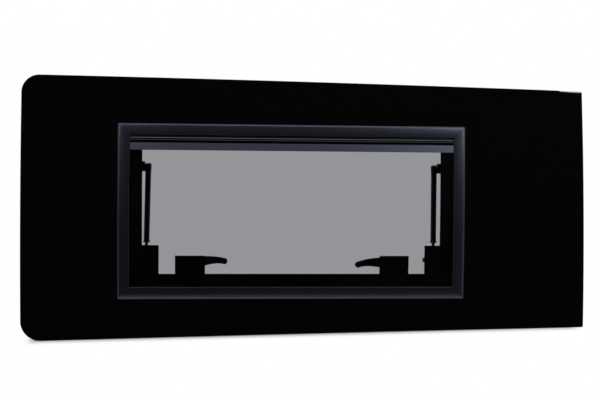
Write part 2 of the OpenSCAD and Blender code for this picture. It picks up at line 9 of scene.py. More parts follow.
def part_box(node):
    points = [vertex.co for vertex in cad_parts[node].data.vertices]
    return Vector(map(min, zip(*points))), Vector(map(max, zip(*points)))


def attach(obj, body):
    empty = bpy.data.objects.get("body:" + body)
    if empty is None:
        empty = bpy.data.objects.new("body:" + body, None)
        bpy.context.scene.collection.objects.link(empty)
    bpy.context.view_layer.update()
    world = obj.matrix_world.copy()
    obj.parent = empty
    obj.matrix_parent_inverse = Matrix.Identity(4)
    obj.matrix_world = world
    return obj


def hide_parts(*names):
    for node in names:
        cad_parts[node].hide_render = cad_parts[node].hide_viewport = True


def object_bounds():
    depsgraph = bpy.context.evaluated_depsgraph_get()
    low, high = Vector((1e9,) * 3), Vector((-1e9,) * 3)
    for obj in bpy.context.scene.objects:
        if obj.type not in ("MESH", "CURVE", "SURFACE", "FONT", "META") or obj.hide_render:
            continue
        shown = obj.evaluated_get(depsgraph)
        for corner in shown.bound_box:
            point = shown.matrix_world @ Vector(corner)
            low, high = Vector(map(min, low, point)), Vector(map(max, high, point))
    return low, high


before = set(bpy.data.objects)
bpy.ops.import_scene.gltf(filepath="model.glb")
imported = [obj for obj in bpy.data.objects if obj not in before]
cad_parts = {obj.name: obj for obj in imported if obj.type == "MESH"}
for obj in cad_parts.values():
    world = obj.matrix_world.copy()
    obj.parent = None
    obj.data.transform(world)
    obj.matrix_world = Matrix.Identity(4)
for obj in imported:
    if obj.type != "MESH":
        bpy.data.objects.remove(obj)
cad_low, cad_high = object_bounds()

bl_info = {
    "name": "Camper Side Window",
    "version": (1, 0, 0),
    "blender": (4, 5, 0),
    "location": "3D View > Sidebar > Side Window",
    "description": "Dresses and stages a bonded glass panel with a top-hung window in it",
    "category": "Object",
}

BODY = "window"
SIDES = ("left", "right")
FRAME_SIDES = ("top", "bottom", "left", "right")
LEVER_BODY = {"left": "handle_left", "right": "handle_right"}
FRONT = Vector((0, -1, 0))
REAR = Vector((0, 1, 0))
DOWN = Vector((0, 0, -1))
TINY = 1e-6
FACING = 0.9
FLAT_ANGLE = math.radians(0.02)
SHARP_ANGLE = math.radians(28)
SMOOTH_ANGLE = math.radians(40)
SCREW_LIFT = 0.0001
GRAIN_ALONG_X = (0.01, 1.0, 1.0)
GRAIN_ALONG_Z = (1.0, 1.0, 0.01)
EVEN_GRAIN = (1.0, 1.0, 1.0)
GLASS_IOR = 1.5
WHITE = (1.0, 1.0, 1.0, 1.0)


class WindowSizes(bpy.types.PropertyGroup):
    """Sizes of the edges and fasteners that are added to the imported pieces."""

    glass_edge: FloatProperty(
        name="Glass edge", description="Width of the ground edge of the glass panel",
        default=0.0011, min=0.0003, max=0.002, unit="LENGTH")
    metal_edge: FloatProperty(
        name="Metal edge", description="Width of the broken edges of the extrusions",
        default=0.00028, min=0.0001, max=0.0008, unit="LENGTH")
    moulded_edge: FloatProperty(
        name="Moulded edge", description="Width of the rounded edges of the moulded fittings",
        default=0.0007, min=0.0002, max=0.0015, unit="LENGTH")
    grip_edge: FloatProperty(
        name="Grip edge", description="Width of the rounded edges of the levers",
        default=0.0018, min=0.0005, max=0.0025, unit="LENGTH")
    screw_radius: FloatProperty(
        name="Screw radius", description="Radius of the heads of the inner frame's screws",
        default=0.0038, min=0.002, max=0.006, unit="LENGTH")
    screw_step: FloatProperty(
        name="Screw spacing", description="Wanted distance between the inner frame's screws",
        default=0.15, min=0.08, max=0.3, unit="LENGTH")
    screw_margin: FloatProperty(
        name="Screw margin", description="Distance from the inner frame's outer edge in to its screws",
        default=0.03775, min=0.03, max=0.045, unit="LENGTH")
    screw_corner: FloatProperty(
        name="First screw", description="Distance from the corner of the screw line to its first screw",
        default=0.04, min=0.02, max=0.08, unit="LENGTH")
    small_screw_radius: FloatProperty(
        name="Small screw radius", description="Radius of the heads that hold the brackets and keepers",
        default=0.0029, min=0.0015, max=0.004, unit="LENGTH")
    socket_edge: FloatProperty(
        name="Socket edge", description="Width of the rounded edges of the struts' upper sockets",
        default=0.003, min=0.0005, max=0.0035, unit="LENGTH")
    collar_radius: FloatProperty(
        name="Tube collar", description="Radius of the lip that closes each strut's tube",
        default=0.0089, min=0.0078, max=0.01, unit="LENGTH")
    socket_radius: FloatProperty(
        name="Screw socket", description="Radius of the six-sided socket in each lever's screw",
        default=0.003, min=0.002, max=0.005, unit="LENGTH")


class WindowFinish(bpy.types.PropertyGroup):
    """Colours and gloss of the finishes."""

    panel_black: FloatVectorProperty(
        name="Panel glass", description="Colour of the glass panel", subtype="COLOR",
        default=(0.0009, 0.0009, 0.0011), min=0.0, max=1.0)
    print_black: FloatVectorProperty(
        name="Fired print", description="Colour of the print on the inner face of the glass",
        subtype="COLOR", default=(0.003, 0.003, 0.0033), min=0.0, max=1.0)
    pane_tint: FloatVectorProperty(
        name="Sash glass", description="Tint of the sash glass", subtype="COLOR",
        default=(0.328, 0.3231, 0.348), min=0.0, max=1.0)
    frame_black: FloatVectorProperty(
        name="Outer frame", description="Colour of the anodised outer frame", subtype="COLOR",
        default=(0.058, 0.062, 0.086), min=0.0, max=1.0)
    inner_black: FloatVectorProperty(
        name="Inner frame", description="Colour of the anodised inner frame", subtype="COLOR",
        default=(0.042, 0.043, 0.047), min=0.0, max=1.0)
    rail_grey: FloatVectorProperty(
        name="Sash rail", description="Colour of the sash's top rail", subtype="COLOR",
        default=(0.093, 0.103, 0.137), min=0.0, max=1.0)
    bar_grey: FloatVectorProperty(
        name="Hinge bar", description="Colour of the hinge bar", subtype="COLOR",
        default=(0.042, 0.045, 0.055), min=0.0, max=1.0)
    rubber_black: FloatVectorProperty(
        name="Rubber", description="Colour of the seals", subtype="COLOR",
        default=(0.006, 0.006, 0.006), min=0.0, max=1.0)
    strut_black: FloatVectorProperty(
        name="Struts", description="Colour of the gas struts' paint", subtype="COLOR",
        default=(0.0035, 0.0035, 0.004), min=0.0, max=1.0)
    moulded_black: FloatVectorProperty(
        name="Moulded parts", description="Colour of the handles, sockets and brackets",
        subtype="COLOR", default=(0.006, 0.006, 0.0065), min=0.0, max=1.0)
    zinc: FloatVectorProperty(
        name="Zinc plate", description="Colour of the tongues, keepers and screws",
        subtype="COLOR", default=(0.56, 0.56, 0.55), min=0.0, max=1.0)


class WindowStage(bpy.types.PropertyGroup):
    """Floor, lamps and camera."""

    floor_white: FloatVectorProperty(
        name="Floor", description="Colour of the floor", subtype="COLOR",
        default=(0.86, 0.86, 0.86), min=0.0, max=1.0)
    floor_size: FloatProperty(
        name="Floor size", description="Length of the floor's sides", default=40.0, min=4.0,
        max=80.0, unit="LENGTH")
    shadow_reach: FloatProperty(
        name="Shadow reach", description="Distance from the panel over which its shadow fades out",
        default=0.11, min=0.02, max=2.0, unit="LENGTH")
    # The contact shade is a painted shadow: it scales the floor's colour close under the panel.
    contact_shade: FloatProperty(
        name="Contact shade", description="Share of the floor's light that is left close under the panel",
        default=0.25, min=0.0, max=1.0)
    tent_light: FloatProperty(
        name="Tent light", description="Brightness of the surroundings that matt surfaces see",
        default=0.5, min=0.0, max=1.5)
    focal_length: FloatProperty(
        name="Focal length", description="Focal length of the camera, in millimetres",
        default=57.0, min=20.0, max=200.0)
    floor_gloss: FloatProperty(
        name="Floor gloss", description="Brightness of the floor in gloss surfaces",
        default=0.55, min=0.0, max=1.0)
    side_gloss: FloatProperty(
        name="Side gloss", description="Brightness of the tent's left and right walls in gloss surfaces",
        default=0.68, min=0.0, max=1.0)


# Modelling

def deselect():
    if bpy.context.mode != "OBJECT":
        bpy.ops.object.mode_set(mode="OBJECT")
    bpy.ops.object.select_all(action="DESELECT")


def activate(piece):
    deselect()
    piece.select_set(True)
    bpy.context.view_layer.objects.active = piece


def edit(piece, kind="FACE"):
    """Opens a piece in edit mode with nothing selected."""
    activate(piece)
    bpy.ops.object.mode_set(mode="EDIT")
    bpy.ops.mesh.select_mode(type=kind)
    bpy.ops.mesh.select_all(action="DESELECT")


def pick_facing(piece, direction):
    """Selects the faces that look in a direction, and no others."""
    shape = bmesh.from_edit_mesh(piece.data)
    shape.normal_update()
    for face in shape.faces:
        face.select_set(face.normal.dot(direction) > FACING)
    bmesh.update_edit_mesh(piece.data)


def close_edit():
    bpy.ops.object.mode_set(mode="OBJECT")


def settle(piece):
    """Puts a piece's place into its mesh, so that its object stands at the origin."""
    activate(piece)
    bpy.ops.object.transform_apply(location=True, rotation=True, scale=True)
    return piece


def finish_with(piece, kind, **values):
    """Adds a modifier and applies it."""
    activate(piece)
    bpy.ops.object.modifier_add(type=kind)
    modifier = piece.modifiers[-1]
    for name, value in values.items():
        setattr(modifier, name, value)
    bpy.ops.object.modifier_apply(modifier=modifier.name)


def cut(piece, cutter):
    """Takes a cutter's shape out of a piece and removes the cutter."""
    finish_with(piece, "BOOLEAN", operation="DIFFERENCE", object=cutter, solver="EXACT")
    bpy.data.objects.remove(cutter)


def soften(piece, width, segments=2):
    """Rounds a piece's sharp edges and keeps its flat faces flat in the light."""
    finish_with(piece, "BEVEL", width=width, segments=segments, limit_method="ANGLE",
                angle_limit=SHARP_ANGLE, miter_outer="MITER_ARC", use_clamp_overlap=True)
    activate(piece)
    bpy.ops.object.shade_smooth_by_angle(angle=SMOOTH_ANGLE)
    finish_with(piece, "WEIGHTED_NORMAL", mode="FACE_AREA", weight=100, keep_sharp=True)


def copy_of(node, name):
    """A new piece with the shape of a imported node, its loose triangles joined into whole faces."""
    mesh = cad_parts[node].data.copy()
    mesh.materials.clear()
    piece = bpy.data.objects.new(name, mesh)
    bpy.context.scene.collection.objects.link(piece)
    edit(piece, "VERT")
    bpy.ops.mesh.select_all(action="SELECT")
    bpy.ops.mesh.remove_doubles(threshold=TINY)
    bpy.ops.mesh.dissolve_limited(angle_limit=FLAT_ANGLE)
    close_edit()
    activate(piece)
    bpy.ops.mesh.customdata_custom_splitnormals_clear()
    return piece


def wear(piece, *materials):
    """Gives a piece its materials."""
    piece.data.materials.clear()
    for material in materials:
        piece.data.materials.append(material)


def dress_node(node, material):
    """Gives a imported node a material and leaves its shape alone."""
    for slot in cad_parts[node].material_slots:
        slot.link = "OBJECT"
        slot.material = material


def stand_in(piece, node, body=BODY):
    """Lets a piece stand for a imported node."""
    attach(piece, body)
    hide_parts(node)


def add_piece(piece, body=BODY):
    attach(piece, body)


def dressed(node, name, material, width, segments=2, body=BODY):
    """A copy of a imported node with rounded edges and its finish, which stands for the node."""
    piece = copy_of(node, name)
    soften(piece, width, segments)
    wear(piece, material)
    stand_in(piece, node, body)
    return piece


def even_steps(first, last, step):
    """Places from first to last, about a step apart."""
    count = max(1, round((last - first) / step))
    return [first + (last - first) * i / count for i in range(count + 1)]


def copies_at(pattern, places, name):
    """Joins copies of a pattern, one at each matrix, into one piece and removes the pattern."""
    made = []
    for place in places:
        piece = bpy.data.objects.new(name, pattern.data.copy())
        piece.data.transform(place)
        bpy.context.scene.collection.objects.link(piece)
        made.append(piece)
    bpy.data.objects.remove(pattern)
    activate(made[0])
    for piece in made:
        piece.select_set(True)
    bpy.ops.object.join()
    joined = bpy.context.view_layer.objects.active
    joined.name = name
    return joined


# Shader node groups

def new_group(name, inputs, outputs):
    """A shader node group with named sockets, each input given as a name, a socket type and a default."""
    group = bpy.data.node_groups.new(name, "ShaderNodeTree")
    for label, kind, default in inputs:
        socket = group.interface.new_socket(name=label, in_out="INPUT", socket_type=kind)
        socket.default_value = default
    for label, kind in outputs:
        group.interface.new_socket(name=label, in_out="OUTPUT", socket_type=kind)
    entry = group.nodes.new("NodeGroupInput")
    leave = group.nodes.new("NodeGroupOutput")
    leave.location = (900, 0)
    return group, entry, leave


def add_node(tree, kind, x, y, **values):
    node = tree.nodes.new(kind)
    node.location = (x, y)
    for name, value in values.items():
        setattr(node, name, value)
    return node


def set_values(node, **values):
    """Sets a node's own inputs, each given by its name with _ for a space."""
    for label, value in values.items():
        node.inputs[label.replace("_", " ")].default_value = value


def join_nodes(tree, *joins):
    """Joins sockets, each join given as a node, its output, the next node and its input."""
    for source, output, target, entry in joins:
        tree.links.new(source.outputs[output], target.inputs[entry])


def anodised_group():
    """Fine lengthwise grain of an anodised extrusion: its colour, roughness and height."""
    group, entry, leave = new_group(
        "Anodised grain",
        [("Color", "NodeSocketColor", (0.02, 0.02, 0.02, 1.0)),
         ("Stretch", "NodeSocketVector", EVEN_GRAIN),
         ("Roughness", "NodeSocketFloat", 0.35),
         ("Spread", "NodeSocketFloat", 0.06)],
        [("Color", "NodeSocketColor"), ("Roughness", "NodeSocketFloat"), ("Height", "NodeSocketFloat")])
    place = add_node(group, "ShaderNodeTexCoord", -900, 0)
    scale = add_node(group, "ShaderNodeVectorMath", -700, 0, operation="MULTIPLY")
    lines = add_node(group, "ShaderNodeTexNoise", -500, 100)
    set_values(lines, Scale=900.0, Detail=4.0)
    patches = add_node(group, "ShaderNodeTexNoise", -500, -200)
    set_values(patches, Scale=9.0, Detail=2.0)
    rough = add_node(group, "ShaderNodeMapRange", -200, 100)
    set_values(rough, To_Min=-1.0, To_Max=1.0)
    shade = add_node(group, "ShaderNodeMapRange", -200, -200)
    set_values(shade, To_Min=0.86, To_Max=1.14)
    change = add_node(group, "ShaderNodeMath", 0, 100, operation="MULTIPLY")
    total = add_node(group, "ShaderNodeMath", 200, 100, operation="ADD")
    tint = add_node(group, "ShaderNodeVectorMath", 200, -200, operation="SCALE")
    join_nodes(
        group,
        (place, "Object", scale, 0),
        (entry, "Stretch", scale, 1),
        (scale, "Vector", lines, "Vector"),
        (place, "Object", patches, "Vector"),
        (lines, "Fac", rough, "Value"),
        (patches, "Fac", shade, "Value"),
        (rough, "Result", change, 0),
        (entry, "Spread", change, 1),
        (change, "Value", total, 0),
        (entry, "Roughness", total, 1),
        (entry, "Color", tint, 0),
        (shade, "Result", tint, "Scale"),
        (tint, "Vector", leave, "Color"),
        (total, "Value", leave, "Roughness"),
        (lines, "Fac", leave, "Height"))
    return group


def moulded_group():
    """Eroded skin of a moulded plastic part: its colour, roughness and height."""
    group, entry, leave = new_group(
        "Moulded skin",
        [("Color", "NodeSocketColor", (0.02, 0.02, 0.02, 1.0)),
         ("Scale", "NodeSocketFloat", 1800.0),
         ("Roughness", "NodeSocketFloat", 0.5),
         ("Spread", "NodeSocketFloat", 0.08)],
        [("Color", "NodeSocketColor"), ("Roughness", "NodeSocketFloat"), ("Height", "NodeSocketFloat")])
    place = add_node(group, "ShaderNodeTexCoord", -900, 0)
    pits = add_node(group, "ShaderNodeTexVoronoi", -600, 100, feature="SMOOTH_F1")
    patches = add_node(group, "ShaderNodeTexNoise", -600, -250)
    set_values(patches, Scale=45.0, Detail=5.0)
    spread = add_node(group, "ShaderNodeMath", -200, 100, operation="MULTIPLY")
    total = add_node(group, "ShaderNodeMath", 0, 100, operation="ADD")
    shade = add_node(group, "ShaderNodeMapRange", -200, -250)
    set_values(shade, To_Min=0.8, To_Max=1.2)
    tint = add_node(group, "ShaderNodeVectorMath", 200, -200, operation="SCALE")
    join_nodes(
        group,
        (place, "Object", pits, "Vector"),
        (entry, "Scale", pits, "Scale"),
        (place, "Object", patches, "Vector"),
        (patches, "Fac", spread, 0),
        (entry, "Spread", spread, 1),
        (spread, "Value", total, 0),
        (entry, "Roughness", total, 1),
        (patches, "Fac", shade, "Value"),
        (entry, "Color", tint, 0),
        (shade, "Result", tint, "Scale"),
        (tint, "Vector", leave, "Color"),
        (total, "Value", leave, "Roughness"),
        (pits, "Distance", leave, "Height"))
    return group


def handling_group():
    """Faint haze that hands and a cloth leave on gloss glass: its roughness."""
    group, entry, leave = new_group(
        "Handling haze",
        [("Clean", "NodeSocketFloat", 0.02),
         ("Hazy", "NodeSocketFloat", 0.07),
         ("Scale", "NodeSocketFloat", 5.0)],
        [("Roughness", "NodeSocketFloat")])
    place = add_node(group, "ShaderNodeTexCoord", -900, 0)
    clouds = add_node(group, "ShaderNodeTexNoise", -600, 0)
    set_values(clouds, Detail=6.0, Distortion=0.8)
    curve = add_node(group, "ShaderNodeMapRange", -300, 0, interpolation_type="SMOOTHSTEP")
    set_values(curve, From_Min=0.45, From_Max=0.75)
    join_nodes(
        group,
        (place, "Object", clouds, "Vector"),
        (entry, "Scale", clouds, "Scale"),
        (clouds, "Fac", curve, "Value"),
        (entry, "Clean", curve, "To Min"),
        (entry, "Hazy", curve, "To Max"),
        (curve, "Result", leave, "Roughness"))
    return group


GROUP_MAKERS = {
    "Anodised grain": anodised_group,
    "Moulded skin": moulded_group,
    "Handling haze": handling_group,
}


def place_group(tree, name, x, y, **values):
    """Places a shared node group with its own values, and builds it the first time."""
    group = bpy.data.node_groups.get(name) or GROUP_MAKERS[name]()
    node = add_node(tree, "ShaderNodeGroup", x, y, node_tree=group)
    set_values(node, **values)
    return node


# Materials

def with_alpha(colour):
    return (*colour, 1.0)


def new_material(name):
    material = bpy.data.materials.new(name)
    material.use_nodes = True
    tree = material.node_tree
    shader = tree.nodes["Principled BSDF"]
    return material, tree, shader


def use_surface(tree, shader, surface, distance, strength):
    """Gives a shader the colour and roughness of a shared group, and its height as a bump."""
    bump = add_node(tree, "ShaderNodeBump", -250, -300)
    set_values(bump, Strength=strength, Distance=distance)
    join_nodes(
        tree,
        (surface, "Color", shader, "Base Color"),
        (surface, "Roughness", shader, "Roughness"),
        (surface, "Height", bump, "Height"),
        (bump, "Normal", shader, "Normal"))


def straight_sight(tree, x, y):
    """Is 1 where the camera looks directly or through clear glass, and 0 after any bounce."""
    path = add_node(tree, "ShaderNodeLightPath", x, y)
    seen = add_node(tree, "ShaderNodeMath", x + 200, y, operation="MAXIMUM")
    bounces = add_node(tree, "ShaderNodeMath", x + 200, y - 200, operation="ADD")
    none = add_node(tree, "ShaderNodeMath", x + 400, y - 200, operation="SUBTRACT", use_clamp=True)
    none.inputs[0].default_value = 1.0
    mask = add_node(tree, "ShaderNodeMath", x + 600, y, operation="MULTIPLY")
    join_nodes(
        tree,
        (path, "Is Camera Ray", seen, 0),
        (path, "Is Transmission Ray", seen, 1),
        (path, "Glossy Depth", bounces, 0),
        (path, "Diffuse Depth", bounces, 1),
        (bounces, "Value", none, 1),
        (seen, "Value", mask, 0),
        (none, "Value", mask, 1))
    return path, mask


def anodised(name, colour, stretch, roughness=0.27, spread=0.01):
    """Anodised aluminium with its grain along the extrusion."""
    material, tree, shader = new_material(name)
    grain = place_group(tree, "Anodised grain", -600, 0, Color=with_alpha(colour),
                        Stretch=stretch, Roughness=roughness, Spread=spread)
    set_values(shader, Metallic=0.98)
    use_surface(tree, shader, grain, distance=0.00001, strength=0.07)
    return material


def moulded(name, colour, roughness=0.45, scale=1800.0, depth=0.00004):
    """Black moulded plastic with a fine eroded skin."""
    material, tree, shader = new_material(name)
    skin = place_group(tree, "Moulded skin", -600, 0, Color=with_alpha(colour), Scale=scale,
                       Roughness=roughness, Spread=0.1)
    use_surface(tree, shader, skin, distance=depth, strength=0.5)
    return material


def fired_print(name, colour):
    """Print that is fired on the glass, smoother and finer than moulded plastic."""
    return moulded(name, colour, roughness=0.3, scale=2600.0, depth=0.00002)


def gloss_glass(name, colour):
    """Black glass, too dark to see through."""
    material, tree, shader = new_material(name)
    haze = place_group(tree, "Handling haze", -600, 0, Clean=0.015, Hazy=0.06, Scale=4.0)
    join_nodes(tree, (haze, "Roughness", shader, "Roughness"))
    set_values(shader, Base_Color=with_alpha(colour), IOR=GLASS_IOR, Specular_IOR_Level=0.42)
    return material


def clear_glass(name, colour):
    """Tinted glass that is seen through."""
    material, tree, shader = new_material(name)
    set_values(shader, Base_Color=with_alpha(colour), Transmission_Weight=1.0, Roughness=0.0,
               IOR=GLASS_IOR)
    return material


def plated(name, colour, roughness=0.3):
    """Zinc plated steel."""
    material, tree, shader = new_material(name)
    grain = place_group(tree, "Anodised grain", -600, 0, Color=with_alpha(colour),
                        Stretch=EVEN_GRAIN, Roughness=roughness, Spread=0.1)
    set_values(shader, Metallic=1.0)
    use_surface(tree, shader, grain, distance=0.00002, strength=0.3)
    return material


# Fasteners, with their measures in shares of the head's radius

HEAD_DEPTH = 0.55
HEAD_TIP = 0.55
HEAD_RIM = 0.07
HEAD_RISE = 0.05
HEAD_EDGE = 0.035
RECESS = (1.15, 0.7, 0.24)


def countersunk_screw(radius):
    """A flush screw head with a crossed recess, about the origin, with its face towards +Y."""
    depth = radius * HEAD_DEPTH
    deselect()
    bpy.ops.mesh.primitive_cylinder_add(vertices=40, radius=radius, depth=depth,
                                        rotation=(-math.pi / 2, 0, 0), location=(0, -depth / 2, 0))
    screw = settle(bpy.context.active_object)
    edit(screw)
    pick_facing(screw, FRONT)
    bpy.ops.transform.resize(value=(HEAD_TIP, 1, HEAD_TIP))
    pick_facing(screw, REAR)
    bpy.ops.mesh.inset(thickness=radius * HEAD_RIM)
    bpy.ops.transform.translate(value=(0, radius * HEAD_RISE, 0))
    close_edit()
    for turn in (0, math.pi / 2):
        deselect()
        bpy.ops.mesh.primitive_cube_add(size=1, rotation=(0, turn, 0), location=(0, 0, 0))
        cutter = bpy.context.active_object
        cutter.scale = [radius * share for share in RECESS]
        settle(cutter)
        cut(screw, cutter)
    soften(screw, radius * HEAD_EDGE, segments=1)
    return screw


# Operators

class WINDOW_OT_panel(bpy.types.Operator):
    """Gives the glass panel its ground edge, its gloss and the fired print on its inner face"""

    bl_idname = "window.dress_panel"
    bl_label = "Glass panel"

    def execute(self, context):
        sizes, finish = context.scene.window_sizes, context.scene.window_finish
        panel = copy_of("fixed_glass", "glass_panel")
        soften(panel, sizes.glass_edge, segments=3)
        wear(panel, gloss_glass("panel_glass", finish.panel_black),
             fired_print("fired_print", finish.print_black))
        for face in panel.data.polygons:
            face.material_index = int(face.normal.y > FACING)
        stand_in(panel, "fixed_glass")
        return {"FINISHED"}


class WINDOW_OT_frame(bpy.types.Operator):
    """Gives the outer frame its broken edges and its anodised finish with painted shade on its inward
    faces, and dresses its gasket
    """

    bl_idname = "window.dress_frame"
    bl_label = "Outer frame"
    inward = {"top": Vector((0, 0, -1)), "bottom": Vector((0, 0, 1)),
              "left": Vector((1, 0, 0)), "right": Vector((-1, 0, 0))}
    inside_share = 0.35

    def execute(self, context):
        sizes, finish = context.scene.window_sizes, context.scene.window_finish
        along_x = anodised("frame_black", finish.frame_black, GRAIN_ALONG_X)
        along_z = anodised("frame_black_upright", finish.frame_black, GRAIN_ALONG_Z)
        # Painted shade: the faces that look into the opening take a darker, rougher copy of the anodised
        # finish, in the inner frame's colour.
        shaded = anodised("frame_painted_shade_inside", finish.inner_black, GRAIN_ALONG_X, roughness=0.5)
        for side in FRAME_SIDES:
            member = dressed("frame_" + side, "outer_frame_" + side,
                             along_x if side in ("top", "bottom") else along_z,
                             sizes.metal_edge)
            member.data.materials.append(shaded)
            # Faces turned into the opening get the painted shade.
            inward = self.inward[side]
            for face in member.data.polygons:
                if face.normal.dot(inward) > self.inside_share:
                    face.material_index = 1
        dress_node("glazing_gasket", moulded("gasket_rubber", finish.rubber_black, roughness=0.6))
        return {"FINISHED"}


class WINDOW_OT_inner_frame(bpy.types.Operator):
    """Gives the inner frame its finish and its countersunk screws"""

    bl_idname = "window.dress_inner_frame"
    bl_label = "Inner frame"
    keeper_room = 0.01

    def execute(self, context):
        sizes, finish = context.scene.window_sizes, context.scene.window_finish
        along_x = anodised("clamp_black", finish.inner_black, GRAIN_ALONG_X, roughness=0.42)
        along_z = anodised("clamp_black_upright", finish.inner_black, GRAIN_ALONG_Z, roughness=0.42)
        for side in FRAME_SIDES:
            dressed("clamp_" + side, "inner_frame_" + side,
                    along_x if side in ("top", "bottom") else along_z, sizes.metal_edge)
        screws = copies_at(countersunk_screw(sizes.screw_radius), self.places(sizes), "inner_frame_screws")
        wear(screws, plated("frame_screw_zinc", finish.zinc))
        add_piece(screws)
        return {"FINISHED"}

    def places(self, sizes):
        """Screws in even steps along the middle of each side, clear of the keepers."""
        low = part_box("clamp_bottom")[0].z + sizes.screw_margin
        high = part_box("clamp_top")[1].z - sizes.screw_margin
        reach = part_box("clamp_right")[1].x - sizes.screw_margin
        keepers = [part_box("keeper_" + side) for side in SIDES]
        places = []
        for x in even_steps(sizes.screw_corner - reach, reach - sizes.screw_corner, sizes.screw_step):
            places.append((x, high))
            if not any(start.x - self.keeper_room < x < end.x + self.keeper_room
                       for start, end in keepers):
                places.append((x, low))
        for z in even_steps(low + sizes.screw_corner, high - sizes.screw_corner, sizes.screw_step):
            places += [(-reach, z), (reach, z)]
        return [Matrix.Translation((x, SCREW_LIFT, z)) for x, z in places]


class WINDOW_OT_sash(bpy.types.Operator):
    """Dresses the sash: its glass, printed border, top rail, hinge bar and seal, with painted shade in the
    rail's recess and the bar's groove
    """

    bl_idname = "window.dress_sash"
    bl_label = "Sash"
    recess_depth = 0.004
    groove_rise = 0.0058
    groove_depth = 0.0026
    groove_width = 0.002
    groove_overrun = 0.01
    aslant = 0.5

    def execute(self, context):
        sizes, finish = context.scene.window_sizes, context.scene.window_finish
        dressed("sash_glass", "sash_pane", clear_glass("sash_glass_tint", finish.pane_tint),
                sizes.glass_edge / 2)
        dress_node("sash_border", fired_print("border_print", finish.print_black))
        rail = dressed("sash_rail", "top_rail",
                       anodised("rail_grey", finish.rail_grey, GRAIN_ALONG_X, roughness=0.36),
                       sizes.metal_edge)
        # Painted shade: a near-black copy of the finish, in the struts' black, for the rail's faces deep in
        # its recess and for the hinge bar's groove.
        shade = anodised("recess_painted_shade", finish.strut_black, GRAIN_ALONG_X, roughness=0.5)
        rail.data.materials.append(shade)
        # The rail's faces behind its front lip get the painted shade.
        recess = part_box("sash_rail")[0].y + self.recess_depth
        for face in rail.data.polygons:
            if face.center.y > recess:
                face.material_index = 1
        bar = anodised("bar_grey", finish.bar_grey, GRAIN_ALONG_X, roughness=0.25)
        self.make_hinge_rod(sizes, bar, shade)
        dress_node("sash_seal", moulded("seal_rubber", finish.rubber_black, roughness=0.55))
        return {"FINISHED"}

    def make_hinge_rod(self, sizes, material, shade):
        """The hinge bar, with the groove in its front between its fixed and its turning half, and painted
        shade on the groove's floor and walls.
        """
        low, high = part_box("hinge_bar")
        groove = low.z + self.groove_rise
        rod = copy_of("hinge_bar", "hinge_rod")
        deselect()
        bpy.ops.mesh.primitive_cube_add(size=1, location=((low.x + high.x) / 2, low.y, groove))
        cutter = bpy.context.active_object
        cutter.scale = (high.x - low.x + self.groove_overrun, 2 * self.groove_depth, self.groove_width)
        settle(cutter)
        cut(rod, cutter)
        soften(rod, sizes.metal_edge)
        wear(rod, material, shade)
        # The groove's floor and walls get the painted shade.
        for face in rod.data.polygons:
            at_groove = abs(face.center.z - groove) <= self.groove_width / 2 and face.center.y < 0
            if at_groove and face.normal.x ** 2 < self.aslant:
                deep = face.center.y > low.y + self.groove_depth / 2
                face.material_index = int(deep or face.normal.y > -self.aslant)
        stand_in(rod, "hinge_bar")


